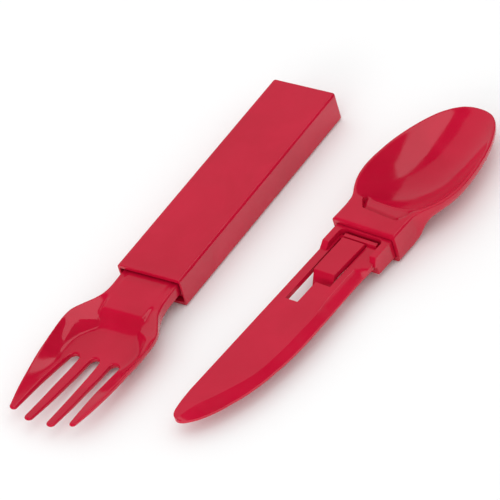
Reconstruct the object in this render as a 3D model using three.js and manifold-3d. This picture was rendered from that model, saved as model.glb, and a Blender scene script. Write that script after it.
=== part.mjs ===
// Moulded plastic cutlery set laid out flat: a fork plugged into a hollow handle sleeve,
// and a knife whose root plugs into the collar of a spoon. Millimetres, +Z up, table at z = 0.
import * as THREE from 'three';
import { mergeVertices } from 'three/addons/utils/BufferGeometryUtils.js';
import Module from 'manifold-3d';

const wasm = await Module();
wasm.setup();

const GAP = 0.3;

// Rectangular section shared by the sleeve and the spoon's collar
const CASE_WIDTH = 28.8;
const CASE_HEIGHT = 12.6;
const CASE_WALL = 1.5;
const CASE_ROOF = 2.1;
const CASE_EDGE = 1.2;

// Handle sleeve: the mouth is at y = 0 and the closed end at y = SLEEVE_LENGTH
const SLEEVE_LENGTH = 109.8;
const SLEEVE_CORNER = 1.2;

// Fork: d is the distance from the sleeve's mouth towards the tines
const FORK_HALF_WIDTH = [[0, 12.6], [8, 12.7], [12, 13.4], [16, 14.9], [20, 17.4], [24, 19.8], [28, 20.7],
  [33, 20.7], [40, 20.3], [48, 19.6], [56, 18.45], [64, 17], [72, 15.1], [78, 13.4]];
const FORK_FLOOR = [[0, 10.2], [8, 9.9], [17.5, 9.4], [18.6, 9.1], [20, 7.8], [21.6, 5.9], [23, 4.7],
  [24.5, 4.1], [27, 3.85], [36, 3.8], [46, 4.05], [54, 4.7], [62, 5.4], [70, 6.25], [78, 7.2]];
const FORK_VALLEY = [[10, 9.8], [12.4, 9.5], [13.6, 9], [16, 8.4], [18, 7.8], [20, 7], [22, 5.8], [24, 4.6],
  [26, 4.05], [28, 3.85], [31, 3.8]];
const FORK_VALLEY_END = 31;
const FORK_VALLEY_FROM = 8.6;
const FORK_VALLEY_TO = 11;
const FORK_FLOOR_HALF = [[16, 10], [20, 9.6], [22.5, 9.8], [24, 11], [26, 12], [29, 12], [34, 11.5],
  [40, 9.5], [46, 5], [56, 5], [62, 6]];
const FORK_WALL_CURVE = [[18, 1.15], [22.5, 1.2], [24, 1.35], [26, 2], [28, 2.4], [32, 2.5], [38, 2.5],
  [46, 2.4], [56, 1.5], [62, 1.2]];
const FORK_WING_SLOPE = 0.42;
const FORK_WING_INNER = 9.9;
const FORK_WING_INNER_SLOPE = 0.6;
const FORK_WING_END = [[9.9, 22.65], [12, 23.8], [15.4, 25.5], [18, 24.6], [20.7, 23.5]];
const FORK_WING_FALL = [[10, 0.9], [12, 0.8], [14, 0.7], [15.4, 0.5], [16.2, 0.37], [18, 0.4], [20.7, 0.2]];
const FORK_WING_BLEND = 0.4;
const FORK_RIM = [[0, 10.2], [8, 9.9], [13, 9.8], [16, 10], [20, 10.2], [24, 10.2], [30, 9.8], [36, 9.55],
  [46, 9.15], [54, 8.55], [62, 8.15], [70, 7.7], [78, 7.4]];
const FORK_SHEET = [[26, 2.4], [45, 2.2], [62, 2], [75, 1.5]];
const FORK_NECK_UNDER = 4.8;
const FORK_NECK_END = 10;
const FORK_SHEET_START = 26;
const FORK_BLANK_HALF_WIDTH = 22;
const FORK_BLANK_END = 78;
const SLOT_RADIUS = 2.05;
const MID_SLOT_CENTRE = 40.2;
const SIDE_SLOT_CENTRE = 40.4;
const SIDE_SLOT_OFFSET = 9.1;
const OUTER_TIP = { x: 13.55, d: 71.9, r: 1.5 };
const INNER_TIP = { x: 5, d: 74.2, r: 1.8 };
const FORK_PLUG_SETBACK = 1.6;
const FORK_PLUG_END = 14;

// Spoon and knife share one axis: v runs from the collar's mouth towards the spoon's tip
const SPOON_AXIS_ORIGIN = [65.8, 47.4];
const SPOON_AXIS_TURN = THREE.MathUtils.degToRad(-4.1);
const COLLAR_SOCKET = 9;
const SPOON_TIP = 75.1;
const SPOON_HALF_WIDTH = [[0, 14.4], [11, 14.4], [14, 15.1], [18, 17.3], [22, 19.2], [26, 20.4], [30, 21.1],
  [34, 21.3], [38, 21.1], [46, 20.15], [54, 18.3], [60, 16.3], [66, 13.5], [70, 10.8], [72, 8.9], [73.8, 6.4],
  [74.6, 4.2], [75, 2.3], [75.1, 1]];
const SPOON_RIM = [[11, 12.6], [16, 12.5], [22, 12.1], [28, 11.7], [34, 11.4], [46, 11], [58, 10.4], [66, 10],
  [70, 9.6], [75.1, 9.1]];
const SPOON_DEPTH = [[9, 12.6], [12, 12.5], [14, 11.8], [16, 10.4], [18, 9.7], [21, 9.5], [27, 10],
  [32, 10.5], [38, 10.8], [46, 10.4], [54, 9.1], [62, 7.1], [68, 5], [72, 3.2], [74.2, 2.2], [75.1, 1.8]];
const SPOON_SQUARENESS = [[9, 14], [13, 9], [15, 5.5], [17, 3.4], [20, 2.4], [28, 2], [36, 1.9]];
const SPOON_RIM_EDGE = 1.2;
const BOWL_START = 12.6;
const BOWL_END = 74;
const BOWL_RIM_WIDTH = [[12.6, 2.4], [15, 1.3], [20, 0.95]];
const BOWL_DEPTH = [[12.6, 0], [14, 1], [16, 2.5], [18, 3.6], [22, 5.1], [26, 6.2], [32, 7.4], [38, 7.9],
  [46, 7.4], [54, 5.9], [62, 3.9], [68, 2.2], [72, 0.9], [74, 0.1]];
const BOWL_FULLNESS = 2.2;
const LEDGE_START = 9;
const LEDGE_END = 14.6;
const LEDGE_STEP = 0.45;
const LEDGE_SLOPE = 0.2;
const LEDGE_HALF_WIDTH = 8.4;
const LEDGE_SHIFT = 1.7;

// Knife: blade flat, spine, cutting edge and the root with its latch tongue
const BLADE_TOP = 7.9;
const BLADE_UNDER = 5.9;
const BLADE_EDGE_THICKNESS = 1.05;
const BLADE_BACK = 2.4;
const BLADE_TIP = 106.2;
const BLADE_SPINE = [[92, -12.45], [96.5, -12.15], [100, -11.75], [102.6, -11.25], [104.4, -10.55],
  [105.5, -9.6], [106.05, -8.6], [106.2, -7.9]];
const BLADE_EDGE = [[8, 11.7], [15, 11.7], [22, 11.5], [30, 11.65], [38, 11.85], [46, 12.05], [54, 12.1],
  [60, 11.9], [66, 11.35], [70, 10.75], [76, 9.8], [81, 8.6], [86, 7.05], [90.4, 5.2], [94.4, 3.5],
  [97.8, 1.6], [100.4, -0.1], [102.9, -2.2], [104.7, -4.3], [105.6, -5.6], [106.05, -6.7], [106.2, -7.6]];
const BEVEL_LINE = [[13.4, 11.4], [16.4, 8.7], [19, 8.1], [36, 8], [52, 7.6], [60, 7.3], [70, 6.4], [76, 5.2],
  [81, 3.3], [86, 0.9], [92, -2.3], [97, -5.2], [102, -7], [106.2, -7.8]];
const BEVEL_LEAST = 0.1;
const ROOT_HALF_WIDTH = 12.6;
const ROOT_UNDER = 2.4;
const ROOT_TOP = 10.2;
const ROOT_FLOOR = 6.5;
const ROOT_PLUG = 8.4;
const ROOT_FRONT = 10.6;
const ROOT_RAMP_TOP = 9.6;
const ROOT_RAMP_END = 12.6;
const RECESS_HALF_WIDTH = 9.6;
const RECESS_BACK = 0.9;
const RECESS_CORNER = 2.2;
const HINGE_BAR_HALF_WIDTH = 7.6;
const HINGE_BAR_FRONT = 4.5;
const HINGE_BAR_TOP = 8.85;
const WINDOW_LEFT = -8.7;
const WINDOW_RIGHT = 3.7;
const WINDOW_BACK = 4.2;
const WINDOW_FRONT = 27.5;
const SLOT_RIGHT = -3;
const SLOT_FRONT = 38.8;
const TONGUE_LEFT = -6.9;
const TONGUE_RIGHT_BACK = 3.4;
const TONGUE_RIGHT_FRONT = 2.6;
const TONGUE_BACK = 3.8;
const TONGUE_FRONT = 23.7;
const TONGUE_TOP = 9.3;
const TONGUE_PLATE = 2.4;
const TONGUE_HOOK_UNDER = 2;
const TONGUE_HOOK = 2.2;

// Cuts run this far past the faces they open
const CLEAR = 3;
const MERGE = 1e-4;
const ARC_STEPS = 12;
const SECTION_STEPS = 30;
const SIDE_STEP = 2;
const FORK_GRID = [32, 54];
const SPOON_STATIONS = 56;
const BOWL_STATIONS = 48;
const BLADE_STATIONS = 64;

const RED = 0xc0283f;
const GLOSS_ROUGHNESS = 0.22;

// Smooth curve through [position, value] pairs, level beyond both ends
function along(points, at) {
  const last = points.length - 1;
  if (at <= points[0][0]) return points[0][1];
  if (at >= points[last][0]) return points[last][1];
  let i = 0;
  while (at > points[i + 1][0]) i += 1;
  const slope = (k) => {
    const before = points[Math.max(k - 1, 0)];
    const after = points[Math.min(k + 1, last)];
    return (after[1] - before[1]) / (after[0] - before[0]);
  };
  const span = points[i + 1][0] - points[i][0];
  const t = (at - points[i][0]) / span;
  return points[i][1] * (1 + 2 * t) * (1 - t) ** 2 + slope(i) * span * t * (1 - t) ** 2
    + points[i + 1][1] * t * t * (3 - 2 * t) + slope(i + 1) * span * t * t * (t - 1);
}

function smoothStep(t) {
  const c = Math.min(Math.max(t, 0), 1);
  return c * c * (3 - 2 * c);
}

function solid(geometry) {
  geometry.deleteAttribute('normal');
  geometry.deleteAttribute('uv');
  const merged = mergeVertices(geometry, MERGE);
  return new wasm.Manifold(new wasm.Mesh({
    numProp: 3,
    vertProperties: new Float32Array(merged.attributes.position.array),
    triVerts: new Uint32Array(merged.index.array),
  }));
}

function geometryOf(body) {
  const mesh = body.getMesh();
  const geometry = new THREE.BufferGeometry();
  geometry.setAttribute('position', new THREE.BufferAttribute(new Float32Array(mesh.vertProperties), 3));
  geometry.setIndex(new THREE.BufferAttribute(new Uint32Array(mesh.triVerts), 1));
  return geometry;
}

// Upright prism over a plan outline, from z = low to z = high
function prism(shape, low, high) {
  const geometry = new THREE.ExtrudeGeometry(shape, {
    depth: high - low, bevelEnabled: false, curveSegments: ARC_STEPS,
  });
  return solid(geometry.translate(0, 0, low));
}

function block(x0, x1, y0, y1, z0, z1) {
  const geometry = new THREE.BoxGeometry(x1 - x0, y1 - y0, z1 - z0);
  return solid(geometry.translate((x0 + x1) / 2, (y0 + y1) / 2, (z0 + z1) / 2));
}

// Closed skin over a row of equal rings, with a fan across each end
function loft(rings) {
  const count = rings[0].length;
  const position = rings.flat(2);
  const index = [];
  rings.slice(1).forEach((_, r) => {
    for (let k = 0; k < count; k += 1) {
      const a = r * count + k;
      const b = r * count + ((k + 1) % count);
      index.push(a, b, a + count, b, b + count, a + count);
    }
  });
  [0, rings.length - 1].forEach((r) => {
    const centre = position.length / 3;
    const ring = rings[r];
    [0, 1, 2].forEach((axis) => position.push(ring.reduce((sum, p) => sum + p[axis], 0) / count));
    for (let k = 0; k < count; k += 1) {
      const a = r * count + k;
      const b = r * count + ((k + 1) % count);
      if (r === 0) index.push(b, a, centre);
      else index.push(a, b, centre);
    }
  });
  const geometry = new THREE.BufferGeometry();
  geometry.setAttribute('position', new THREE.Float32BufferAttribute(position, 3));
  geometry.setIndex(index);
  return solid(geometry);
}

// Rectangle with a radius on each corner, centred on x, standing on low
function roundedSection(width, low, high, radius) {
  const x = width / 2;
  const shape = new THREE.Shape();
  shape.moveTo(-x + radius, low);
  shape.absarc(x - radius, low + radius, radius, -Math.PI / 2, 0);
  shape.absarc(x - radius, high - radius, radius, 0, Math.PI / 2);
  shape.absarc(-x + radius, high - radius, radius, Math.PI / 2, Math.PI);
  shape.absarc(-x + radius, low + radius, radius, Math.PI, Math.PI * 1.5);
  return shape;
}

// Bar of the shared case section along y
function caseBar(y0, y1) {
  const geometry = new THREE.ExtrudeGeometry(roundedSection(CASE_WIDTH, 0, CASE_HEIGHT, CASE_EDGE), {
    depth: y1 - y0, bevelEnabled: false, curveSegments: ARC_STEPS,
  });
  return solid(geometry.rotateX(Math.PI / 2).translate(0, y1, 0));
}

// Bar across x, from -half to half, over a profile drawn in y and z
function profileBar(profile, half) {
  const geometry = new THREE.ExtrudeGeometry(profile, { depth: 2 * half, bevelEnabled: false });
  return solid(geometry.rotateX(Math.PI / 2).rotateZ(Math.PI / 2).translate(-half, 0, 0));
}

function makeSleeve() {
  const half = CASE_WIDTH / 2;
  const plan = new THREE.Shape();
  plan.moveTo(-half, 0);
  plan.lineTo(half, 0);
  plan.absarc(half - SLEEVE_CORNER, SLEEVE_LENGTH - SLEEVE_CORNER, SLEEVE_CORNER, 0, Math.PI / 2);
  plan.absarc(-half + SLEEVE_CORNER, SLEEVE_LENGTH - SLEEVE_CORNER, SLEEVE_CORNER, Math.PI / 2, Math.PI);
  const inside = half - CASE_WALL;
  return caseBar(0, SLEEVE_LENGTH)
    .intersect(prism(plan, -CLEAR, CASE_HEIGHT + CLEAR))
    .subtract(block(-inside, inside, -CLEAR, SLEEVE_LENGTH - CASE_WALL, CASE_ROOF, CASE_HEIGHT - CASE_ROOF));
}

// Flat inner face of a wing, falling away towards the palm
function forkWing(across, d) {
  const end = Math.min(d, along(FORK_WING_END, across));
  const inner = Math.max(FORK_WING_INNER - across, 0);
  const face = along(FORK_RIM, end) - FORK_WING_SLOPE * (along(FORK_HALF_WIDTH, end) - across);
  return face - FORK_WING_INNER_SLOPE * inner - along(FORK_WING_FALL, across) * (d - end);
}

// The palm's floor, with a valley beside the ramp on each side, curves up to the rim
function forkTop(x, d) {
  const across = Math.abs(x);
  const rim = along(FORK_RIM, d);
  let floor = along(FORK_FLOOR, d);
  if (d < FORK_VALLEY_END) {
    const beside = smoothStep((across - FORK_VALLEY_FROM) / (FORK_VALLEY_TO - FORK_VALLEY_FROM));
    floor += (Math.min(along(FORK_VALLEY, d), rim) - floor) * beside;
  }
  const start = along(FORK_FLOOR_HALF, d);
  const share = Math.min(Math.max((across - start) / (along(FORK_HALF_WIDTH, d) - start), 0), 1);
  const wall = floor + Math.max(rim - floor, 0) * share ** along(FORK_WALL_CURVE, d);
  if (d < FORK_NECK_END) return wall;
  const wing = forkWing(across, d);
  return Math.min((wall + wing + Math.hypot(wall - wing, FORK_WING_BLEND)) / 2, Math.max(rim, wall));
}

function forkUnder(x, d) {
  const thin = smoothStep((d - FORK_NECK_END) / (FORK_SHEET_START - FORK_NECK_END));
  return FORK_NECK_UNDER + (forkTop(x, d) - along(FORK_SHEET, d) - FORK_NECK_UNDER) * thin;
}

// Plan of the fork's head, its slots and tines, seen from above
function forkPlan() {
  const arc = (x, d, r, from, to) => Array.from({ length: ARC_STEPS + 1 }, (_, k) => {
    const a = from + (to - from) * k / ARC_STEPS;
    return [x + r * Math.cos(a), d + r * Math.sin(a)];
  });
  const count = Math.ceil(OUTER_TIP.d / SIDE_STEP);
  const steps = Array.from({ length: count }, (_, k) => SIDE_STEP * k);
  const side = steps.map((d) => [along(FORK_HALF_WIDTH, d), d]);
  side[0][1] = -FORK_PLUG_SETBACK - GAP;
  const right = [
    ...side,
    ...arc(OUTER_TIP.x, OUTER_TIP.d, OUTER_TIP.r, 0, Math.PI),
    ...arc(SIDE_SLOT_OFFSET, SIDE_SLOT_CENTRE, SLOT_RADIUS, 0, -Math.PI),
    ...arc(INNER_TIP.x, INNER_TIP.d, INNER_TIP.r, 0, Math.PI),
    ...arc(0, MID_SLOT_CENTRE, SLOT_RADIUS, 0, -Math.PI / 2),
  ];
  const left = right.slice(0, -1).reverse().map(([x, d]) => [-x, d]);
  return new THREE.Shape([...right, ...left].map(([x, d]) => new THREE.Vector2(x, -d)));
}

function makeFork() {
  const back = -FORK_PLUG_SETBACK - GAP;
  const length = FORK_BLANK_END - back;
  const sheet = new THREE.BoxGeometry(2 * FORK_BLANK_HALF_WIDTH, length, 1, ...FORK_GRID, 1);
  sheet.translate(0, -back - length / 2, 0);
  const p = sheet.attributes.position;
  for (let i = 0; i < p.count; i += 1) {
    const surface = p.getZ(i) > 0 ? forkTop : forkUnder;
    p.setZ(i, surface(p.getX(i), -p.getY(i)));
  }
  const half = CASE_WIDTH / 2 - CASE_WALL - GAP;
  const low = CASE_ROOF + GAP;
  const high = CASE_HEIGHT - CASE_ROOF - GAP;
  const plug = block(-half, half, FORK_PLUG_SETBACK, FORK_PLUG_END, low, high);
  const core = block(-half + CASE_WALL, half - CASE_WALL, FORK_PLUG_SETBACK + 2 * CASE_WALL,
    FORK_PLUG_END + CLEAR, low + CASE_WALL, high - CASE_WALL);
  return solid(sheet).intersect(prism(forkPlan(), -CLEAR, CASE_HEIGHT + CLEAR)).add(plug).subtract(core);
}

// Lower half of a rounded section: squareness 2 is an ellipse, larger values are boxier
function bellyPoints(halfWidth, top, depth, squareness, v) {
  return Array.from({ length: SECTION_STEPS + 1 }, (_, k) => {
    const a = Math.PI * k / SECTION_STEPS;
    const c = Math.cos(a);
    return [
      halfWidth * Math.sign(c) * Math.abs(c) ** (2 / squareness),
      v,
      top - depth * Math.abs(Math.sin(a)) ** (2 / squareness),
    ];
  });
}

// Stations from start to end, closer together towards the end
function stations(start, end, count) {
  const share = (k) => Math.sin(Math.PI / 2 * k / count);
  return Array.from({ length: count + 1 }, (_, k) => start + (end - start) * share(k));
}

// Hollow of the bowl: its depth falls away towards the rim as a power of the distance from the axis
function hollowPoints(halfWidth, top, depth, v) {
  return Array.from({ length: SECTION_STEPS + 1 }, (_, k) => {
    const c = 1 - 2 * k / SECTION_STEPS;
    return [halfWidth * c, v, top - depth * (1 - Math.abs(c) ** BOWL_FULLNESS)];
  });
}

function makeSpoon() {
  const outer = loft(stations(0, SPOON_TIP, SPOON_STATIONS).map((v) => {
    const half = along(SPOON_HALF_WIDTH, v);
    const rim = along(SPOON_RIM, v);
    const depth = along(SPOON_DEPTH, v) - SPOON_RIM_EDGE;
    const belly = bellyPoints(half, rim - SPOON_RIM_EDGE, depth, along(SPOON_SQUARENESS, v), v);
    return [[half, v, rim], ...belly, [-half, v, rim]];
  }));
  const bowl = loft(stations(BOWL_START, BOWL_END, BOWL_STATIONS).map((v) => {
    const half = along(SPOON_HALF_WIDTH, v) - along(BOWL_RIM_WIDTH, v);
    const rim = along(SPOON_RIM, v);
    const hollow = hollowPoints(half, rim, along(BOWL_DEPTH, v), v);
    return [[half, v, rim + CLEAR], ...hollow, [-half, v, rim + CLEAR]];
  }));
  const inside = CASE_WIDTH / 2 - CASE_WALL;
  const socket = block(-inside, inside, -CLEAR, COLLAR_SOCKET, CASE_ROOF, CASE_HEIGHT - CASE_ROOF);
  const slope = new THREE.Shape();
  slope.moveTo(LEDGE_START, CASE_HEIGHT + CLEAR);
  slope.lineTo(LEDGE_START, CASE_HEIGHT - LEDGE_STEP);
  slope.lineTo(LEDGE_END, CASE_HEIGHT - LEDGE_STEP - LEDGE_SLOPE * (LEDGE_END - LEDGE_START));
  slope.lineTo(LEDGE_END, CASE_HEIGHT + CLEAR);
  const ledge = profileBar(slope, LEDGE_HALF_WIDTH).translate([LEDGE_SHIFT, 0, 0]);
  return outer.subtract(bowl).subtract(ledge).subtract(socket);
}

// Flat blade with a bevel falling to the cutting edge; d is the distance from the collar's mouth
function makeBlade() {
  return loft(stations(BLADE_BACK, BLADE_TIP, BLADE_STATIONS).map((d) => {
    const spine = along(BLADE_SPINE, d);
    const edge = along(BLADE_EDGE, d);
    const bevel = Math.max(Math.min(along(BEVEL_LINE, d), edge - BEVEL_LEAST), spine + BEVEL_LEAST);
    return [
      [edge, -d, BLADE_UNDER],
      [edge, -d, BLADE_UNDER + BLADE_EDGE_THICKNESS],
      [bevel, -d, BLADE_TOP],
      [spine, -d, BLADE_TOP],
      [spine, -d, BLADE_UNDER],
    ];
  }));
}

// Root block with side walls round an open recess, and the latch tongue hung from a bar at the recess's back
function makeKnife() {
  const side = new THREE.Shape();
  side.moveTo(ROOT_PLUG, ROOT_UNDER);
  side.lineTo(ROOT_PLUG, ROOT_TOP);
  side.lineTo(-ROOT_RAMP_TOP, ROOT_TOP);
  side.lineTo(-ROOT_RAMP_END, BLADE_TOP - GAP);
  side.lineTo(-ROOT_FRONT, BLADE_UNDER + GAP);
  side.lineTo(-ROOT_FRONT, ROOT_UNDER);
  const corner = RECESS_HALF_WIDTH - RECESS_CORNER;
  const turn = -RECESS_BACK - RECESS_CORNER;
  const recess = new THREE.Shape();
  recess.moveTo(-RECESS_HALF_WIDTH, -ROOT_RAMP_END - CLEAR);
  recess.lineTo(RECESS_HALF_WIDTH, -ROOT_RAMP_END - CLEAR);
  recess.absarc(corner, turn, RECESS_CORNER, 0, Math.PI / 2);
  recess.absarc(-corner, turn, RECESS_CORNER, Math.PI / 2, Math.PI);
  const tongue = new THREE.Shape();
  tongue.moveTo(TONGUE_LEFT, -TONGUE_BACK);
  tongue.lineTo(TONGUE_LEFT, -TONGUE_FRONT);
  tongue.lineTo(TONGUE_RIGHT_FRONT, -TONGUE_FRONT);
  tongue.lineTo(TONGUE_RIGHT_BACK, -TONGUE_BACK);
  const hinge = block(-HINGE_BAR_HALF_WIDTH, HINGE_BAR_HALF_WIDTH, -HINGE_BAR_FRONT, -BLADE_BACK - GAP / 2,
    ROOT_FLOOR - GAP, HINGE_BAR_TOP);
  const hook = block(TONGUE_LEFT, TONGUE_RIGHT_FRONT, -TONGUE_FRONT, -TONGUE_FRONT + TONGUE_HOOK,
    TONGUE_HOOK_UNDER, TONGUE_TOP - TONGUE_PLATE / 2);
  const low = ROOT_UNDER - CLEAR;
  const high = BLADE_TOP + CLEAR;
  return profileBar(side, ROOT_HALF_WIDTH)
    .subtract(prism(recess, ROOT_FLOOR, ROOT_TOP + CLEAR))
    .add(makeBlade())
    .subtract(block(WINDOW_LEFT, WINDOW_RIGHT, -WINDOW_FRONT, -WINDOW_BACK, low, high))
    .subtract(block(WINDOW_LEFT, SLOT_RIGHT, -SLOT_FRONT, -WINDOW_FRONT + CLEAR, low, high))
    .add(hinge)
    .add(prism(tongue, TONGUE_TOP - TONGUE_PLATE, TONGUE_TOP))
    .add(hook);
}

function layAlongSpoonAxis(geometry) {
  return geometry.rotateZ(SPOON_AXIS_TURN).translate(SPOON_AXIS_ORIGIN[0], SPOON_AXIS_ORIGIN[1], 0);
}

function plastic() {
  return new THREE.MeshStandardMaterial({ color: RED, roughness: GLOSS_ROUGHNESS, metalness: 0 });
}

const pieces = {
  handle_sleeve: geometryOf(makeSleeve()),
  fork: geometryOf(makeFork()),
  spoon: layAlongSpoonAxis(geometryOf(makeSpoon())),
  knife: layAlongSpoonAxis(geometryOf(makeKnife())),
};

// The origin is the middle of the whole set's footprint, on the table
const box = new THREE.Box3();
Object.values(pieces).forEach((geometry) => {
  geometry.computeBoundingBox();
  box.union(geometry.boundingBox);
});
const middle = box.getCenter(new THREE.Vector3());

const set = new THREE.Group();
set.name = 'cutlery_set';
Object.entries(pieces).forEach(([name, geometry]) => {
  geometry.translate(-middle.x, -middle.y, -box.min.z);
  geometry.computeVertexNormals();
  const mesh = new THREE.Mesh(geometry, plastic());
  mesh.name = name;
  set.add(mesh);
});

export default set;
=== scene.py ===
"""Looks of a moulded plastic cutlery set: a fork plugged into a sleeve, and a knife in a spoon's collar.

Lengths are in millimetres while shapes are worked out, and become metres when a mesh is made.
"""

import math

import bmesh
import bpy
from mathutils import Euler, Matrix, Vector


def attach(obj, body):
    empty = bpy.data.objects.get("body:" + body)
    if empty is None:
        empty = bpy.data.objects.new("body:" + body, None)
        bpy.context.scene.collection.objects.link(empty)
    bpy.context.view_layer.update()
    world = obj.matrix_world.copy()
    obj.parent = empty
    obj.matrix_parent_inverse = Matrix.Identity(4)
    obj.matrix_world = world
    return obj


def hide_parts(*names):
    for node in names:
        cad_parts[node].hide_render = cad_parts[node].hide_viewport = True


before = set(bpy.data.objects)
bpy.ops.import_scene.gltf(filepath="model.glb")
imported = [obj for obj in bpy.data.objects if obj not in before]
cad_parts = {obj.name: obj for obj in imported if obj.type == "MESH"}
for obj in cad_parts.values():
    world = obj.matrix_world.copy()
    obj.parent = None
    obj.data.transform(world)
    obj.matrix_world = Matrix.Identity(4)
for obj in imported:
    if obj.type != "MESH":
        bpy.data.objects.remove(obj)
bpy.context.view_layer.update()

MM = 0.001

# Where the two laid-out pairs lie in the row frame
SLEEVE_ORIGIN = (-34.392, -23.19)
SPOON_ORIGIN = (31.403, 24.207)
SPOON_TURN = math.radians(-4.1)

# Shared case section
CASE_WIDTH = 28.8
CASE_HEIGHT = 12.6
CASE_WALL = 1.5
CASE_ROOF = 2.1
CASE_EDGE = 1.2
GAP = 0.3
PLUG_EDGE = 0.3

# Handle sleeve
SLEEVE_LENGTH = 109.8
SLEEVE_CORNER = 1.2
SLEEVE_END_EDGE = 0.6
MOUTH_EDGE = 0.35

# Fork: d runs from the sleeve's mouth towards the tines
FORK_HALF_WIDTH = [(0, 12.6), (8, 12.7), (12, 13.4), (16, 14.9), (20, 17.4), (24, 19.8), (28, 20.7),
                   (33, 20.7), (40, 20.3), (48, 19.6), (56, 18.45), (64, 17), (72, 15.1), (78, 13.4)]
FORK_FLOOR = [(0, 10.3), (8, 9.9), (17.5, 9.4), (18.6, 9.1), (20, 7.8), (21.6, 5.9), (23, 4.7),
              (24.5, 4.1), (27, 3.85), (36, 3.8), (46, 4.05), (54, 4.7), (62, 5.4), (70, 6.25), (78, 7.2)]
FORK_VALLEY = [(10, 9.8), (12.4, 9.5), (13.6, 9), (16, 8.4), (18, 7.8), (20, 7), (22, 5.8), (24, 4.6),
               (26, 4.05), (28, 3.85), (31, 3.8)]
FORK_VALLEY_SIDE = (8.6, 11)
FORK_FLOOR_HALF = [(16, 10), (20, 9.6), (22.5, 9.8), (24, 11), (26, 12), (29, 12), (34, 11.5), (40, 9.5),
                   (46, 5), (56, 5), (62, 6)]
FORK_WALL_CURVE = [(18, 1.15), (22.5, 1.2), (24, 1.35), (26, 2), (28, 2.4), (32, 2.5), (38, 2.5),
                   (46, 2.4), (56, 1.5), (62, 1.2)]
FORK_RIM = [(0, 10.3), (8, 9.9), (13, 9.8), (16, 10), (20, 10.2), (24, 10.2), (30, 9.8), (36, 9.55),
            (46, 9.15), (54, 8.55), (62, 8.15), (70, 7.7), (78, 7.4)]
FORK_WING_SLOPE = 0.42
FORK_WING_INNER = 9.9
FORK_WING_INNER_SLOPE = 0.6
FORK_WING_END = [(9.9, 22.65), (12, 23.8), (15.4, 25.5), (20.7, 25.5)]
FORK_WING_FALL = [(10, 0.9), (12, 0.8), (14, 0.7), (15.4, 0.5), (16.2, 0.37), (18.5, 0.32), (20.7, 0.1)]
FORK_WING_BLEND = 0.6
FORK_SHEET = [(26, 2.4), (45, 2.2), (62, 2), (75, 1.5)]
FORK_NECK_UNDER = 4.8
FORK_NECK_END = 10
FORK_SHEET_START = 26
FORK_EDGE = [(10, 1.1), (24, 0.6), (42, 0.85)]
FORK_BACK = -1.9
SLOT_RADIUS = 2.05
MID_SLOT_CENTRE = 40.2
SIDE_SLOT_CENTRE = 40.4
SIDE_SLOT_OFFSET = 9.1
OUTER_TIP = (13.55, 71.9, 1.5)
INNER_TIP = (5, 74.2, 1.8)
OUTER_TINE_TAPER = 0.26
FORK_PLUG = (1.6, 14)
FORK_PALM_ROWS = (12, 36.5)

# Spoon: v runs from the collar's mouth towards the tip
SPOON_TIP = 75.1
SPOON_HALF_WIDTH = [(0, 14.4), (11, 14.4), (14, 15.1), (18, 17.3), (22, 19.2), (26, 20.4), (30, 21.1),
                    (34, 21.3), (38, 21.1), (46, 20.15), (54, 18.3), (60, 16.3), (66, 13.5), (70, 10.8),
                    (72, 8.9), (73.8, 6.4), (74.6, 4.2), (75, 2.3), (75.1, 1)]
SPOON_RIM = [(11, 12.6), (16, 12.5), (22, 12.1), (28, 11.7), (34, 11.4), (46, 11), (58, 10.4), (66, 10),
             (70, 9.6), (75.1, 9.1)]
SPOON_DEPTH = [(9, 12.6), (12, 12.5), (14, 11.8), (16, 10.4), (18, 9.7), (21, 9.5), (27, 10), (32, 10.5),
               (38, 10.8), (46, 10.4), (54, 9.1), (62, 7.1), (68, 5), (72, 3.2), (74.2, 2.2), (75.1, 1.8)]
SPOON_SQUARENESS = [(9, 14), (13, 9), (15, 5.5), (17, 3.4), (20, 2.4), (28, 2), (36, 1.9)]
SPOON_RIM_BAND = 1.2
SPOON_EDGE = [(8, 1.2), (16, 0.45)]
SPOON_POLE = 42
COLLAR_ROWS_START = 1
BOWL_ROWS_START = 20
COLLAR_SOCKET = 9
BOWL_RIM_WIDTH = [(12.6, 2.4), (15, 1.3), (20, 0.95)]
BOWL_DEPTH = [(12.6, 0), (14, 1), (16, 2.5), (18, 3.6), (22, 5.1), (26, 6.2), (32, 7.4), (38, 7.9),
              (46, 7.4), (54, 5.9), (62, 3.9), (68, 2.2), (72, 0.9), (74.1, 0.1)]
BOWL_START = 12.6
BOWL_END = 74.1
BOWL_FULLNESS = 2.2
BOWL_LIP = 0.12
BOWL_LIP_INSET = 0.3
LEDGE_LEFT = [(9, 6.6), (9.6, 7.2), (12, 9), (13.5, 10)]
LEDGE_RIGHT = [(7.6, 8.6), (8, 9.8), (9, 10.8), (10.5, 11.6), (12, 12.2), (13.5, 12.8)]
LEDGE_FADE = (13.6, 19)
LEDGE_FRONT = [(-7, 9), (0, 8.4), (7, 7.8), (10, 7.7)]
LEDGE_ROWS = (7.5, 9.4)
LEDGE_STEP = 0.3
LEDGE_SLOPE = 0.2
LEDGE_EDGE = 0.25
LEDGE_INSET = 0.6
LEDGE_GROOVE = (1.05, 1.9)

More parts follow.
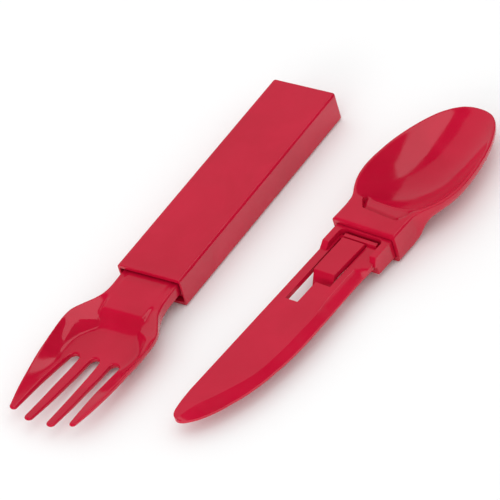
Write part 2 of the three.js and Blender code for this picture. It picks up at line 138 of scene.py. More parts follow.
# Knife: d runs from the collar's mouth towards the blade's tip
BLADE_TOP = 7.9
BLADE_UNDER = 5.9
BLADE_EDGE_THICKNESS = [(36, 0.7), (46, 1.05)]
BLADE_BEVEL_START = (13, 16.5)
BLADE_FACET_DROP = 0.32
BLADE_FACET_ENDS = (15.2, 17.2, 36, 44)
BLADE_FACET_STEP = 0.5
BLADE_BACK = 2.4
BLADE_CURVE_START = 90
BLADE_ROUNDING = 0.2
BLADE_TIP = 106.2
BLADE_SPINE = [(92, -12.45), (96.5, -12.15), (100, -11.75), (102.6, -11.25), (104.4, -10.55),
               (105.5, -9.6), (106.05, -8.6), (106.2, -7.9)]
BLADE_EDGE = [(8, 11.7), (15, 11.7), (22, 11.5), (30, 11.65), (38, 11.85), (46, 12.05), (54, 12.1),
              (60, 11.9), (66, 11.35), (70, 10.75), (76, 9.8), (81, 8.6), (86, 7.05), (90.4, 5.2),
              (94.4, 3.5), (97.8, 1.6), (100.4, -0.1), (102.9, -2.2), (104.7, -4.3), (105.6, -5.6),
              (106.05, -6.7), (106.2, -7.6)]
BEVEL_LINE = [(13.4, 11.4), (16.4, 8.7), (19, 8.1), (36, 8), (52, 7.6), (60, 7.3), (70, 6.4), (76, 5.2),
              (81, 3.3), (86, 0.9), (92, -2.3), (97, -5.2), (102, -7), (106.2, -7.8)]
FACET_LINE = [(15, 7.6), (16.2, 6.4), (30, 6.2), (36, 6.6), (44, 7.4)]
BLADE_FLAT = (-12.45, 6.2)
BEVEL_FROM_EDGE = 0.3
BEVEL_FROM_SPINE = 0.5
FACET_FROM_BEVEL = 0.15
LINE_LEAST = 0.1
ROOT_HALF_WIDTH = 12.6
ROOT_UNDER = 2.4
ROOT_TOP = 10.2
ROOT_PLUG = 8.4
ROOT_FRONT = 10.6
ROOT_FLOOR = 6.5
ROOT_WALL_FOOT = 6.2
ROOT_RAMP = (9.4, 14.2)
ROOT_RIGHT_RAMP = (10, 11.6)
RECESS_HALF_WIDTH = 9.6
RECESS_BACK = 0.9
RECESS_CORNER = 2.2
HINGE_BAR_LEFT = -7.4
HINGE_BAR_RIGHT = 7.8
HINGE_BAR_BACK = 2.1
HINGE_BAR_FRONT = 3.9
HINGE_BAR_FOOT = 6.1
HINGE_BAR_TOP = 9.1
HINGE_LINK_BACK = 3.5
HINGE_LINK_FRONT = 5.2
HINGE_LINK_TOP = 8.5
WINDOW_LEFT = -8.7
WINDOW_RIGHT = 3.7
WINDOW_BACK = 4.2
WINDOW_FRONT = 27.5
SLOT_RIGHT = -3
SLOT_FRONT = 38.8
TONGUE_LEFT = -6.9
TONGUE_RIGHT_BACK = 3.4
TONGUE_RIGHT_FRONT = 2.6
TONGUE_BACK = 4.6
TONGUE_FRONT = 23.7
TONGUE_TOP = 9.3
TONGUE_PLATE = 2.4
TONGUE_HOOK_UNDER = 2
TONGUE_HOOK = 2.2
TONGUE_HOOK_TOP = 8.9
TONGUE_HOOK_INSET = 0.01
TONGUE_LEAN = 0.55
TONGUE_LEAN_FROM = 0.77
KNIFE_EDGE = 0.25

# Cuts run this far past the faces they open
CLEAR = 3
# Places closer than this count as the same, in a solid and in a plan
NEAR = 0.1
TOUCHING = 0.001


def along(points, at):
    """Smooth curve through (position, value) pairs, level beyond both ends."""
    last = len(points) - 1
    if at <= points[0][0]:
        return points[0][1]
    if at >= points[last][0]:
        return points[last][1]
    i = 0
    while at > points[i + 1][0]:
        i += 1

    def slope(k):
        before, after = points[max(k - 1, 0)], points[min(k + 1, last)]
        return (after[1] - before[1]) / (after[0] - before[0])

    span = points[i + 1][0] - points[i][0]
    t = (at - points[i][0]) / span
    return (points[i][1] * (1 + 2 * t) * (1 - t) ** 2 + slope(i) * span * t * (1 - t) ** 2
            + points[i + 1][1] * t * t * (3 - 2 * t) + slope(i + 1) * span * t * t * (t - 1))


def smooth_step(t):
    c = min(max(t, 0), 1)
    return c * c * (3 - 2 * c)


def spread(start, end, count):
    """count + 1 evenly spaced values from start to end."""
    return [start + (end - start) * k / count for k in range(count + 1)]


def edge_drop(distance, radius):
    """How far a rounded edge lies below the flat, at a distance in from the edge."""
    if distance >= radius:
        return 0.0
    return radius - math.sqrt(max(radius ** 2 - (radius - distance) ** 2, 0.0))


# Shares of an edge radius at which a rounded edge is sampled
EDGE_STEPS = (0, 0.02, 0.08, 0.19, 0.36, 0.62, 1)
# Most of a tine's width that one rounded edge takes
EDGE_LIMIT = 0.3
# Rows past the end of a slot, and the margin before and after the slots
SLOT_ROW_STEPS = (0.02, 0.08, 0.16)
SLOT_ROW_MARGIN = 0.5
# Angles at which a tine's round tip is sampled
TIP_ANGLES = (8, 16, 25, 35, 45, 55, 64, 72, 79, 85)
# Levels round the bowl's lip, and the one just before the ledge's side
LIP_STEPS = (-0.15, -0.05, 0.05, 0.15, 0.35)
LEDGE_LEAD = 0.1
# Halvings in the search for the rim along a ray, and the longest ray
RAY_HALVINGS = 40
RAY_LIMIT = 50


def make_object(name, bm):
    bmesh.ops.recalc_face_normals(bm, faces=bm.faces)
    mesh = bpy.data.meshes.new(name)
    bm.to_mesh(mesh)
    bm.free()
    obj = bpy.data.objects.new(name, mesh)
    bpy.context.scene.collection.objects.link(obj)
    return obj


def plate(name, patches, top, under):
    """Closed plate over a plan: patches are rows of (x, y) points, and top and under give the heights."""
    index, points, faces = {}, [], []

    def vertex(p):
        key = (round(p[0], 4), round(p[1], 4))
        if key not in index:
            index[key] = len(points)
            points.append(key)
        return index[key]

    for rows in patches:
        grid = [[vertex(p) for p in row] for row in rows]
        for a, b in zip(grid, grid[1:]):
            for k in range(len(a) - 1):
                corners = list(dict.fromkeys((a[k], a[k + 1], b[k + 1], b[k])))
                if len(corners) > 2:
                    faces.append(corners)
    uses = {}
    for face in faces:
        for a, b in zip(face, face[1:] + face[:1]):
            uses[frozenset((a, b))] = uses.get(frozenset((a, b)), 0) + 1
    bm = bmesh.new()
    high = [bm.verts.new((x * MM, y * MM, top(x, y) * MM)) for x, y in points]
    low = [bm.verts.new((x * MM, y * MM, under(x, y) * MM)) for x, y in points]
    for face in faces:
        bm.faces.new([high[k] for k in face])
        bm.faces.new([low[k] for k in reversed(face)])
        for a, b in zip(face, face[1:] + face[:1]):
            if uses[frozenset((a, b))] == 1:
                bm.faces.new((high[b], high[a], low[a], low[b]))
    return make_object(name, bm)


def prism(name, outline, low, high, edge, shift=None):
    """Upright prism over a plan outline with its sharp edges rounded; shift moves corners before that."""
    bm = bmesh.new()
    base = [bm.verts.new((x * MM, y * MM, low * MM)) for x, y in outline]
    face = bm.faces.new(base)
    lifted = bmesh.ops.extrude_face_region(bm, geom=[face])
    for v in lifted["geom"]:
        if isinstance(v, bmesh.types.BMVert):
            v.co.z = high * MM
    if shift:
        for v in bm.verts:
            v.co = Vector(shift(*(v.co / MM))) * MM
    bmesh.ops.recalc_face_normals(bm, faces=bm.faces)
    round_sharp(bm, edge)
    return make_object(name, bm)


def round_sharp(bm, width, angle=math.radians(35), segments=3):
    sharp = [e for e in bm.edges if e.is_manifold and e.calc_face_angle() > angle]
    bmesh.ops.bevel(bm, geom=sharp, offset=width * MM, offset_type="OFFSET", segments=segments, profile=0.5,
                    affect="EDGES", clamp_overlap=True)


def rectangle(x0, x1, y0, y1):
    return [(x0, y0), (x1, y0), (x1, y1), (x0, y1)]


def arc(x, y, radius, start, end, steps=10):
    return [(x + radius * math.cos(a), y + radius * math.sin(a))
            for a in spread(math.radians(start), math.radians(end), steps)]


def applied(obj):
    """The object with its modifiers worked into the mesh."""
    bpy.context.view_layer.update()
    graph = bpy.context.evaluated_depsgraph_get()
    mesh = bpy.data.meshes.new_from_object(obj.evaluated_get(graph))
    obj.modifiers.clear()
    old, obj.data = obj.data, mesh
    bpy.data.meshes.remove(old)
    return obj


def combine(obj, other, operation):
    step = obj.modifiers.new(operation.lower(), "BOOLEAN")
    step.operation = operation
    step.solver = "EXACT"
    step.object = other
    applied(obj)
    bpy.data.objects.remove(other)
    return obj


def finish_shading(obj, sharp_angle, weighted):
    obj.data.shade_smooth()
    obj.data.set_sharp_from_angle(angle=math.radians(sharp_angle))
    if weighted:
        even = obj.modifiers.new("even_normals", "WEIGHTED_NORMAL")
        even.keep_sharp = True
        applied(obj)
    return obj


def lay(obj, origin, turn=0.0):
    """Moves a mesh from its own axis to where it lies in the row frame."""
    shift = Matrix.Translation(Vector((origin[0] * MM, origin[1] * MM, 0)))
    obj.data.transform(shift @ Matrix.Rotation(turn, 4, "Z"))
    return obj


def make_sleeve():
    half = CASE_WIDTH / 2
    bm = bmesh.new()
    corners = [bm.verts.new((x * MM, 0, z * MM))
               for x, z in ((-half, 0), (half, 0), (half, CASE_HEIGHT), (-half, CASE_HEIGHT))]
    mouth = bm.faces.new(corners)
    body = bmesh.ops.extrude_face_region(bm, geom=[mouth])
    for v in body["geom"]:
        if isinstance(v, bmesh.types.BMVert):
            v.co.y = SLEEVE_LENGTH * MM
    mouth = next(f for f in bm.faces if all(abs(v.co.y) < NEAR * MM for v in f.verts))
    bmesh.ops.inset_individual(bm, faces=[mouth], thickness=CASE_WALL * MM)
    for v in mouth.verts:
        v.co.z += (CASE_ROOF - CASE_WALL) * MM * (1 if v.co.z < CASE_HEIGHT * MM / 2 else -1)
    bore = bmesh.ops.extrude_face_region(bm, geom=[mouth])
    bmesh.ops.delete(bm, geom=[mouth], context="FACES_ONLY")
    for v in bore["geom"]:
        if isinstance(v, bmesh.types.BMVert):
            v.co.y = (SLEEVE_LENGTH - CASE_WALL) * MM
    weight = bm.edges.layers.float.new("bevel_weight_edge")
    for e in bm.edges:
        ends = [v.co / MM for v in e.verts]
        outside = all(abs(abs(p.x) - half) < NEAR for p in ends)
        lengthwise = abs(ends[0].y - ends[1].y) > NEAR
        far = all(abs(p.y - SLEEVE_LENGTH) < NEAR for p in ends)
        near = all(abs(p.y) < NEAR for p in ends)
        upright = abs(ends[0].z - ends[1].z) > NEAR
        if lengthwise and outside:
            e[weight] = CASE_EDGE / SLEEVE_CORNER
        elif far:
            e[weight] = 1.0 if upright else SLEEVE_END_EDGE / SLEEVE_CORNER
        elif near:
            e[weight] = MOUTH_EDGE / SLEEVE_CORNER
    obj = make_object("sleeve_shell", bm)
    rounding = obj.modifiers.new("rounding", "BEVEL")
    rounding.limit_method = "WEIGHT"
    rounding.width = SLEEVE_CORNER * MM
    rounding.segments = 6
    applied(obj)
    return finish_shading(obj, 40, True)


def fork_top(x, d):
    across = abs(x)
    floor = along(FORK_FLOOR, d)
    if d < FORK_VALLEY[-1][0]:
        beside = smooth_step((across - FORK_VALLEY_SIDE[0]) / (FORK_VALLEY_SIDE[1] - FORK_VALLEY_SIDE[0]))
        floor += (min(along(FORK_VALLEY, d), along(FORK_RIM, d)) - floor) * beside
    start = along(FORK_FLOOR_HALF, d)
    share = min(max((across - start) / (along(FORK_HALF_WIDTH, d) - start), 0), 1)
    wall = floor + max(along(FORK_RIM, d) - floor, 0) * share ** along(FORK_WALL_CURVE, d)
    if d < FORK_NECK_END:
        return wall
    wing = fork_wing(across, d)
    return min((wall + wing + math.hypot(wall - wing, FORK_WING_BLEND)) / 2, max(along(FORK_RIM, d), wall))


def fork_wing(across, d):
    """Flat inner face of a wing, falling away towards the palm."""
    end = min(d, along(FORK_WING_END, across))
    inner = max(FORK_WING_INNER - across, 0)
    face = along(FORK_RIM, end) - FORK_WING_SLOPE * (along(FORK_HALF_WIDTH, end) - across)
    return face - FORK_WING_INNER_SLOPE * inner - along(FORK_WING_FALL, across) * (d - end)


def fork_under(x, d):
    thin = smooth_step((d - FORK_NECK_END) / (FORK_SHEET_START - FORK_NECK_END))
    return FORK_NECK_UNDER + (fork_top(x, d) - along(FORK_SHEET, d) - FORK_NECK_UNDER) * thin


def between(d, d0, x0, d1, x1):
    return x0 + (x1 - x0) * (d - d0) / (d1 - d0)


def half_chord(radius, offset):
    return math.sqrt(max(radius ** 2 - offset ** 2, 0.0))


# Offset and round end of the slots on one side of the fork
FORK_SLOTS = ((0, MID_SLOT_CENTRE), (SIDE_SLOT_OFFSET, SIDE_SLOT_CENTRE))


def zip_line(d):
    """Line from the neck to the end of a side slot, where two tines part."""
    return SIDE_SLOT_OFFSET * along(FORK_HALF_WIDTH, d) / along(FORK_HALF_WIDTH, SIDE_SLOT_CENTRE)


def inner_tine(d):
    """Left and right side of the inner tine at d."""
    x, tip, r = INNER_TIP
    if d > tip:
        reach = half_chord(r, d - tip)
        return x - reach, x + reach
    if d <= MID_SLOT_CENTRE:
        left = half_chord(SLOT_RADIUS, MID_SLOT_CENTRE - d) if d > MID_SLOT_CENTRE - SLOT_RADIUS else 0.0
    else:
        left = between(d, MID_SLOT_CENTRE, SLOT_RADIUS, tip, x - r)
    if d <= SIDE_SLOT_CENTRE - SLOT_RADIUS:
        right = zip_line(d)
    elif d <= SIDE_SLOT_CENTRE:
        right = SIDE_SLOT_OFFSET - half_chord(SLOT_RADIUS, SIDE_SLOT_CENTRE - d)
    else:
        right = between(d, SIDE_SLOT_CENTRE, SIDE_SLOT_OFFSET - SLOT_RADIUS, tip, x + r)
    return left, right


def outer_tine(d):
    """Left and right side of the outer tine at d."""
    x, tip, r = OUTER_TIP
    if d > tip:
        reach = half_chord(r, d - tip)
        return x - reach, x + reach
    if d <= SIDE_SLOT_CENTRE - SLOT_RADIUS:
        left = zip_line(d)
    elif d <= SIDE_SLOT_CENTRE:
        left = SIDE_SLOT_OFFSET + half_chord(SLOT_RADIUS, SIDE_SLOT_CENTRE - d)
    else:
        left = between(d, SIDE_SLOT_CENTRE, SIDE_SLOT_OFFSET + SLOT_RADIUS, tip, x - r)
    return left, min(along(FORK_HALF_WIDTH, d), x + r + (tip - d) * OUTER_TINE_TAPER)


def fork_edge_distance(x, d):
    """Distance in plan from a point of the fork to the nearest free edge."""
    across = abs(x)
    reach = [d - FORK_BACK]
    for offset, centre in FORK_SLOTS:
        if d <= centre:
            reach.append(math.hypot(across - offset, d - centre) - SLOT_RADIUS)
    inner, outer = inner_tine(d), outer_tine(d)
    if d > MID_SLOT_CENTRE and across < SIDE_SLOT_OFFSET:
        reach.append(across - inner[0])
    if d > SIDE_SLOT_CENTRE:
        reach.append(inner[1] - across if across < SIDE_SLOT_OFFSET else across - outer[0])
    if across > inner[1] - TOUCHING:
        reach.append(outer[1] - across)
    tip_x, tip_d, tip_radius = INNER_TIP if across < SIDE_SLOT_OFFSET else OUTER_TIP
    if d > tip_d:
        reach = [tip_radius - math.hypot(across - tip_x, d - tip_d)]
    return max(min(reach), 0.0)


def strip_row(left, right, d, count, mirror):
    """Points across a tine, close together at both sides."""
    width = right - left
    edge = min(along(FORK_EDGE, d), width * EDGE_LIMIT)
    inset = [edge * s for s in EDGE_STEPS]
    middle = spread(left + edge, right - edge, count)[1:-1]
    row = [left + e for e in inset] + middle + [right - e for e in reversed(inset)]
    return [(mirror * x, -d) for x in row]


def make_fork():
    edge = along(FORK_EDGE, 0)
    back = [FORK_BACK + edge * s for s in EDGE_STEPS]
    palm_start, palm_end = FORK_PALM_ROWS
    neck = spread(FORK_BACK + edge, palm_start, 12)[1:] + spread(palm_start, palm_end, 70)[1:]
    mid_end, side_end = MID_SLOT_CENTRE - SLOT_RADIUS, SIDE_SLOT_CENTRE - SLOT_RADIUS
    tines_start = SIDE_SLOT_CENTRE + SLOT_ROW_MARGIN
    *close, clear = SLOT_ROW_STEPS
    turn = spread(palm_end, mid_end - SLOT_ROW_MARGIN, 3)[1:]
    turn += [mid_end - along(FORK_EDGE, mid_end) * s for s in EDGE_STEPS]
    turn += [slot_end + step for slot_end in (mid_end, side_end) for step in close]
    turn += spread(mid_end + clear, side_end, 6) + spread(side_end + clear, tines_start, 14)
    patches = []
    for sides, (_, tip, radius), count in ((inner_tine, INNER_TIP, 12), (outer_tine, OUTER_TIP, 26)):
        rows = back + neck + sorted(set(turn)) + spread(tines_start, tip, 60)[1:]
        rows += [tip + radius * math.sin(math.radians(a)) for a in TIP_ANGLES]
        for mirror in (-1, 1):
            patches.append([strip_row(*sides(d), d, count, mirror) for d in rows])

    def top(x, y):
        return fork_top(x, -y) - edge_drop(fork_edge_distance(x, -y), along(FORK_EDGE, -y))

    def under(x, y):
        return fork_under(x, -y) + edge_drop(fork_edge_distance(x, -y), along(FORK_EDGE, -y))

    fork = plate("fork_body", patches, top, under)
    half = CASE_WIDTH / 2 - CASE_WALL - GAP
    low, high = CASE_ROOF + GAP, CASE_HEIGHT - CASE_ROOF - GAP
    plug = prism("plug", rectangle(-half, half, *FORK_PLUG), low, high, PLUG_EDGE)
    inside = half - CASE_WALL
    hollow = rectangle(-inside, inside, FORK_PLUG[0] + 2 * CASE_WALL, FORK_PLUG[1] + CLEAR)
    core = prism("core", hollow, low + CASE_WALL, high - CASE_WALL, PLUG_EDGE)
    combine(fork, combine(plug, core, "DIFFERENCE"), "UNION")
    return finish_shading(fork, 50, False)


def bowl_half(v):
    """Half width of the bowl's inner edge."""
    return along(SPOON_HALF_WIDTH, v) - along(BOWL_RIM_WIDTH, v)


def bowl_depth(u, v):
    """How far the bowl, with the sloping ledge at its back, lies below the rim's plane."""
    bowl = ledge = 0.0
    half = bowl_half(v)
    if BOWL_START < v < BOWL_END and abs(u) < half:
        deep = along(BOWL_DEPTH, v) * (1 - (abs(u) / half) ** BOWL_FULLNESS)
        bowl = math.sqrt(deep ** 2 + BOWL_LIP ** 2) - BOWL_LIP
    inside = along(LEDGE_RIGHT if u > 0 else LEDGE_LEFT, v) - abs(u)
    past = v - along(LEDGE_FRONT, u)
    if past > 0 and inside > 0:
        fade = (v - LEDGE_FADE[0]) / (LEDGE_FADE[1] - LEDGE_FADE[0])
        deep, wide = LEDGE_GROOVE
        groove = deep * min(max(1 - (min(past, inside) - LEDGE_EDGE) / wide, 0), 1)
        ledge = (LEDGE_STEP + groove + LEDGE_SLOPE * past) * smooth_step(past / LEDGE_EDGE)
        ledge *= smooth_step(inside / LEDGE_EDGE) * (1 - smooth_step(fade))
    return max(bowl, ledge)


def spoon_top(u, v):
    edge = along(SPOON_EDGE, v)
    distance = max(min(along(SPOON_HALF_WIDTH, v) - abs(u), v), 0.0)
    if v > SPOON_POLE:
        distance = rim_distance(u, v)
    return along(SPOON_RIM, v) - bowl_depth(u, v) - edge_drop(distance, edge)


def spoon_under(u, v):
    half = along(SPOON_HALF_WIDTH, v)
    square = along(SPOON_SQUARENESS, v)
    band = along(SPOON_RIM, v) - SPOON_RIM_BAND
    share = min(abs(u) / half, 1.0)
    return band - (along(SPOON_DEPTH, v) - SPOON_RIM_BAND) * (1 - share ** square) ** (1 / square)


def ray_length(angle):
    """Distance from the bowl's pole to the spoon's outline, along a plan direction."""
    low, high = 0.0, RAY_LIMIT
    for _ in range(RAY_HALVINGS):
        middle = (low + high) / 2
        v = SPOON_POLE + middle * math.sin(angle)
        inside = v < SPOON_TIP and middle * math.cos(angle) < along(SPOON_HALF_WIDTH, v)
        low, high = (middle, high) if inside else (low, middle)
    return low


def rim_distance(u, v):
    """Distance from the spoon's rim for points beyond the pole, measured along the ray from it."""
    angle = math.atan2(v - SPOON_POLE, abs(u))
    return max(ray_length(angle) - math.hypot(u, v - SPOON_POLE), 0.0)


def spoon_levels(length, inner, edge, ledge):
    """Distances in from the rim at which a row is sampled, close at the rim, lip and ledge side."""
    lip = max(inner, edge + BOWL_LIP_INSET)
    side = max(length - ledge, lip + LEDGE_INSET)
    around = [lip + step for step in LIP_STEPS]
    levels = [edge * s for s in EDGE_STEPS] + spread(edge, around[0], 2)[1:-1] + around
    levels += spread(around[-1], side - LEDGE_LEAD, 12)[1:] + spread(side, side + LEDGE_EDGE, 4)
    return levels + spread(side + LEDGE_EDGE, length, 12)[1:]


def spoon_rows(ledge):
    """Rows of points over one half of the spoon, from the rim in to the axis."""
    rows = []
    start = [along(SPOON_EDGE, 0) * s for s in EDGE_STEPS]
    stations = start + spread(COLLAR_ROWS_START, LEDGE_ROWS[0], 7)[1:-1] + spread(*LEDGE_ROWS, 19)
    stations += spread(LEDGE_ROWS[1], BOWL_ROWS_START, 40)[1:] + spread(BOWL_ROWS_START, SPOON_POLE, 44)[1:]
    for v in stations:
        half = along(SPOON_HALF_WIDTH, v)
        levels = spoon_levels(half, half - bowl_half(v), along(SPOON_EDGE, v), along(ledge, v))
        rows.append([(half - e, v) for e in levels])
    rim, edge = along(BOWL_RIM_WIDTH, SPOON_POLE), along(SPOON_EDGE, SPOON_POLE)
    for angle in spread(0, math.pi / 2, 90)[1:]:
        length = ray_length(angle)
        reach = [length - e for e in spoon_levels(length, rim, edge, along(ledge, SPOON_POLE))]
        rows.append([(r * math.cos(angle), SPOON_POLE + r * math.sin(angle)) for r in reach])
    return rows


def make_spoon():
    left = [[(-u, v) for u, v in row] for row in spoon_rows(LEDGE_LEFT)]
    spoon = plate("spoon_body", [spoon_rows(LEDGE_RIGHT), left], spoon_top, spoon_under)
    inside = CASE_WIDTH / 2 - CASE_WALL
    opening = rectangle(-inside, inside, -CLEAR, COLLAR_SOCKET)
    socket = prism("socket", opening, CASE_ROOF, CASE_HEIGHT - CASE_ROOF, PLUG_EDGE)
    combine(spoon, socket, "DIFFERENCE")
    return finish_shading(spoon, 50, False)


def blade_lines(d):
    """Spine, facet start, facet foot, bevel start and cutting edge across the blade at d."""
    spine, edge = along(BLADE_SPINE, d), along(BLADE_EDGE, d)
    bevel = max(min(along(BEVEL_LINE, d), edge - BEVEL_FROM_EDGE), spine + BEVEL_FROM_SPINE)
    furthest = bevel - BLADE_FACET_STEP - FACET_FROM_BEVEL
    facet = max(min(along(FACET_LINE, d), furthest), spine + LINE_LEAST)
    return spine, facet, min(facet + BLADE_FACET_STEP, bevel - LINE_LEAST), bevel, edge


def blade_top(x, y):
    d = -y
    _, facet, foot, bevel, edge = blade_lines(d)
    a, b, c, e = BLADE_FACET_ENDS
    drop = BLADE_FACET_DROP * smooth_step((d - a) / (b - a)) * (1 - smooth_step((d - c) / (e - c)))
    if x <= foot:
        return BLADE_TOP - drop * smooth_step((x - facet) / (foot - facet))
    start = smooth_step((d - BLADE_BEVEL_START[0]) / (BLADE_BEVEL_START[1] - BLADE_BEVEL_START[0]))
    low = BLADE_TOP - (BLADE_TOP - BLADE_UNDER - along(BLADE_EDGE_THICKNESS, d)) * start
    return BLADE_TOP - drop + (low - BLADE_TOP + drop) * min(max((x - bevel) / (edge - bevel), 0), 1)


def make_blade():
    rows = spread(BLADE_BACK, WINDOW_BACK, 2)[:-1] + spread(WINDOW_BACK, WINDOW_FRONT, 30)
    rows += spread(WINDOW_FRONT, SLOT_FRONT, 12)[1:] + spread(SLOT_FRONT, BLADE_CURVE_START, 50)[1:]
    curve = BLADE_TIP - BLADE_CURVE_START
    rows += [BLADE_CURVE_START + curve * math.sin(a) for a in spread(0, math.pi / 2, 24)[1:]]

    def columns(d):
        spine, facet, foot, bevel, edge = blade_lines(d)
        cuts = (WINDOW_LEFT, SLOT_RIGHT, WINDOW_RIGHT)
        if d > SLOT_FRONT + TOUCHING:
            flat = BLADE_FLAT[1] - BLADE_FLAT[0]
            cuts = [spine + (facet - spine) * (c - BLADE_FLAT[0]) / flat for c in cuts]
        return [(x, -d) for x in (spine, *cuts, facet, (facet + foot) / 2, foot, bevel, edge)]

    lines = [columns(d) for d in rows]
    patches = []
    for (a, ra), (b, rb) in zip(zip(rows, lines), list(zip(rows, lines))[1:]):
        for k in range(len(ra) - 1):
            middle = (a + b) / 2
            in_window = k in (1, 2) and WINDOW_BACK < middle < WINDOW_FRONT
            in_slot = k == 1 and WINDOW_FRONT < middle < SLOT_FRONT
            if not in_window and not in_slot:
                patches.append([[ra[k], ra[k + 1]], [rb[k], rb[k + 1]]])
    blade = plate("knife_body", patches, blade_top, lambda x, y: BLADE_UNDER)
    bm = bmesh.new()
    bm.from_mesh(blade.data)
    round_sharp(bm, BLADE_ROUNDING, math.radians(50), 2)
    bm.to_mesh(blade.data)
    bm.free()
    return blade


def make_knife():
    knife = make_blade()
    corner = RECESS_HALF_WIDTH - RECESS_CORNER
    left, right = ROOT_RAMP[1], ROOT_RIGHT_RAMP[1]
    walls = [(-ROOT_HALF_WIDTH, ROOT_PLUG), (-ROOT_HALF_WIDTH, -left), (-RECESS_HALF_WIDTH, -left)]
    walls += arc(-corner, -RECESS_BACK - RECESS_CORNER, RECESS_CORNER, 180, 90)
    walls += arc(corner, -RECESS_BACK - RECESS_CORNER, RECESS_CORNER, 90, 0)
    walls += [(RECESS_HALF_WIDTH, -right), (ROOT_HALF_WIDTH, -right), (ROOT_HALF_WIDTH, ROOT_PLUG)]

    def ramp(x, y, z):
        start = ROOT_RIGHT_RAMP[0] if x > 0 else ROOT_RAMP[0]
        return (x, -start if z > BLADE_TOP and y < -start else y, z)

    upper = prism("walls", walls, ROOT_WALL_FOOT, ROOT_TOP, KNIFE_EDGE, ramp)
    floor = [(-ROOT_HALF_WIDTH, ROOT_PLUG), (-ROOT_HALF_WIDTH, -ROOT_FRONT), (WINDOW_LEFT, -ROOT_FRONT),
             (WINDOW_LEFT, -WINDOW_BACK), (WINDOW_RIGHT, -WINDOW_BACK), (WINDOW_RIGHT, -ROOT_FRONT),
             (ROOT_HALF_WIDTH, -ROOT_FRONT), (ROOT_HALF_WIDTH, ROOT_PLUG)]
    lower = prism("block", floor, ROOT_UNDER, ROOT_FLOOR, KNIFE_EDGE)
    across = rectangle(HINGE_BAR_LEFT, HINGE_BAR_RIGHT, -HINGE_BAR_FRONT, -HINGE_BAR_BACK)
    bar = prism("bar", across, HINGE_BAR_FOOT, HINGE_BAR_TOP, KNIFE_EDGE)
    bridge = rectangle(TONGUE_LEFT + KNIFE_EDGE, TONGUE_RIGHT_BACK - KNIFE_EDGE,
                       -HINGE_LINK_FRONT, -HINGE_LINK_BACK)
    tongue_under = TONGUE_TOP - TONGUE_PLATE
    link = prism("link", bridge, tongue_under + KNIFE_EDGE, HINGE_LINK_TOP, KNIFE_EDGE / 2)
    plan = [(TONGUE_LEFT, -TONGUE_BACK), (TONGUE_LEFT, -TONGUE_FRONT), (TONGUE_RIGHT_FRONT, -TONGUE_FRONT),
            (TONGUE_RIGHT_BACK, -TONGUE_BACK)]

    def lean(x, y, z):
        if y > -TONGUE_FRONT + NEAR:
            return x, y, z
        return x, y + TONGUE_LEAN_FROM - TONGUE_LEAN * (TONGUE_TOP - z), z

    tongue = prism("tongue", plan, tongue_under, TONGUE_TOP, KNIFE_EDGE, lean)
    foot = rectangle(TONGUE_LEFT + TONGUE_HOOK_INSET, TONGUE_RIGHT_FRONT - TONGUE_HOOK_INSET,
                     -TONGUE_FRONT + TONGUE_HOOK_INSET, -TONGUE_FRONT + TONGUE_HOOK)
    hook = prism("hook", foot, TONGUE_HOOK_UNDER, TONGUE_HOOK_TOP, KNIFE_EDGE, lean)
    combine(tongue, hook, "UNION")
    combine(tongue, link, "UNION")
    combine(upper, lower, "UNION")
    combine(knife, upper, "UNION")
    combine(knife, bar, "UNION")
    combine(knife, tongue, "UNION")
    return finish_shading(knife, 35, True)


def node(tree, kind, **inputs):
    made = tree.nodes.new(kind)
    for name, value in inputs.items():
        made.inputs[name.replace("_", " ")].default_value = value
    return made


def plastic_material():
    """Glossy moulded plastic: faint flow marks in the colour, uneven gloss and a slightly wavy skin."""
    material = bpy.data.materials.new("red_moulded_plastic")
    material.use_nodes = True
    tree = material.node_tree
    link = tree.links.new
    shader = tree.nodes["Principled BSDF"]
    shader.inputs["IOR"].default_value = 1.49
    place = tree.nodes.new("ShaderNodeTexCoord")
    flow = node(tree, "ShaderNodeTexNoise", Scale=38.0, Detail=4.0, Roughness=0.55, Distortion=0.8)
    link(place.outputs["Object"], flow.inputs["Vector"])
    tint = tree.nodes.new("ShaderNodeValToRGB")
    tint.color_ramp.elements[0].position = 0.3
    tint.color_ramp.elements[0].color = (0.48, 0.0035, 0.027, 1)
    tint.color_ramp.elements[1].position = 0.72
    tint.color_ramp.elements[1].color = (0.55, 0.0055, 0.035, 1)
    link(flow.outputs["Fac"], tint.inputs["Fac"])
    link(tint.outputs["Color"], shader.inputs["Base Color"])
    handling = node(tree, "ShaderNodeTexNoise", Scale=120.0, Detail=6.0, Roughness=0.6)
    link(place.outputs["Object"], handling.inputs["Vector"])
    gloss = node(tree, "ShaderNodeMapRange", From_Min=0.3, From_Max=0.75, To_Min=0.09, To_Max=0.17)
    link(handling.outputs["Fac"], gloss.inputs["Value"])
    link(gloss.outputs["Result"], shader.inputs["Roughness"])
    skin = node(tree, "ShaderNodeTexNoise", Scale=70.0, Detail=2.0)
    link(place.outputs["Object"], skin.inputs["Vector"])
    wave = node(tree, "ShaderNodeBump", Strength=0.05, Distance=0.001)
    link(skin.outputs["Fac"], wave.inputs["Height"])
    link(wave.outputs["Normal"], shader.inputs["Normal"])
    return material


PLASTIC = plastic_material()
PIECES = (
    (make_sleeve, "laid_out_pair", "handle_sleeve", SLEEVE_ORIGIN, 0.0),
    (make_fork, "fork", "fork", SLEEVE_ORIGIN, 0.0),
    (make_spoon, "laid_out_pair", "spoon", SPOON_ORIGIN, SPOON_TURN),
    (make_knife, "knife", "knife", SPOON_ORIGIN, SPOON_TURN),
)
for make, body, cad_node, origin, turn in PIECES:
    piece = lay(make(), origin, turn)
    piece.data.materials.clear()
    piece.data.materials.append(PLASTIC)
    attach(piece, body)
    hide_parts(cad_node)

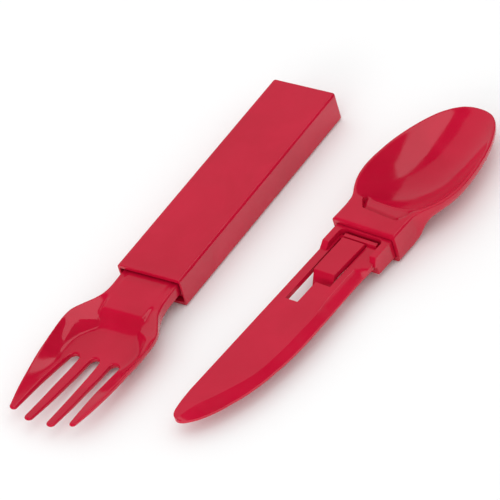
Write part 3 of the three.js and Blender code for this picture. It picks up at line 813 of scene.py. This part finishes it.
# Floor
FLOOR_SIZE = 6.0
FLOOR_DROP = 0.0002
bm = bmesh.new()
bmesh.ops.create_grid(bm, x_segments=1, y_segments=1, size=FLOOR_SIZE / 2)
floor = make_object("floor", bm)
floor.location.z = -FLOOR_DROP
paper = bpy.data.materials.new("pale_floor")
paper.use_nodes = True
paper.node_tree.nodes["Principled BSDF"].inputs["Base Color"].default_value = (0.93, 0.93, 0.93, 1)
paper.node_tree.nodes["Principled BSDF"].inputs["Roughness"].default_value = 0.9
paper.node_tree.nodes["Principled BSDF"].inputs["Specular IOR Level"].default_value = 0.0
floor.data.materials.append(paper)

# Light
world = bpy.data.worlds.new("soft_room")
bpy.context.scene.world = world
world.use_nodes = True
world.node_tree.nodes["Background"].inputs["Color"].default_value = (1, 1, 1, 1)
world.node_tree.nodes["Background"].inputs["Strength"].default_value = 0.9
world.cycles_visibility.glossy = False


def panel(name, azimuth, elevation, distance, width, height, radiance):
    """Softbox that faces the set: azimuth is turned from +X towards +Y."""
    light = bpy.data.lights.new(name, "AREA")
    light.shape = "RECTANGLE"
    light.size, light.size_y = width, height
    light.energy = radiance * math.pi * width * height
    obj = bpy.data.objects.new(name, light)
    a, e = math.radians(azimuth), math.radians(elevation)
    place = Vector((math.cos(a) * math.cos(e), math.sin(a) * math.cos(e), math.sin(e))) * distance
    obj.location = place
    obj.rotation_euler = place.to_track_quat("Z", "Y").to_euler()
    bpy.context.scene.collection.objects.link(obj)
    return obj


panel("broad_panel", 148, 30, 1.7, 2.3, 1.9, 0.42)
fill = panel("front_fill", -82, 15, 2.0, 1.6, 0.8, 3.0)
fill.visible_glossy = False

# Overhead softbox with one slanted side, as (x, y) on a plane at its height
SOFTBOX_HEIGHT = 1.3
SOFTBOX_OUTLINE = [(-0.08, 1.15), (-0.08, -0.35), (0.62, -0.35), (0.62, 0.42)]
SOFTBOX_RADIANCE = 1.3
bm = bmesh.new()
corners = [Vector((x, y, 1)) * SOFTBOX_HEIGHT for x, y in SOFTBOX_OUTLINE]
bm.faces.new([bm.verts.new(corner) for corner in corners])
softbox = make_object("softbox", bm)
softbox.visible_camera = False
glow = bpy.data.materials.new("softbox_glow")
glow.use_nodes = True
glow.node_tree.nodes.clear()
lamp = node(glow.node_tree, "ShaderNodeEmission", Strength=SOFTBOX_RADIANCE)
surface = glow.node_tree.nodes.new("ShaderNodeOutputMaterial")
glow.node_tree.links.new(lamp.outputs["Emission"], surface.inputs["Surface"])
softbox.data.materials.append(glow)

# Camera
CAMERA_PLACE = (0.896168, -0.91419, 1.07896)
CAMERA_TURN = (48.899, 13.4553, 33.0637)
CAMERA_LENS = 327.5
CAMERA_SENSOR = 36.0
camera = bpy.data.objects.new("camera", bpy.data.cameras.new("camera"))
camera.data.sensor_width = CAMERA_SENSOR
camera.data.lens = CAMERA_LENS
camera.location = CAMERA_PLACE
camera.rotation_euler = Euler([math.radians(a) for a in CAMERA_TURN], "XYZ")
bpy.context.scene.collection.objects.link(camera)
bpy.context.scene.camera = camera

bpy.context.scene.view_settings.view_transform = "Standard"
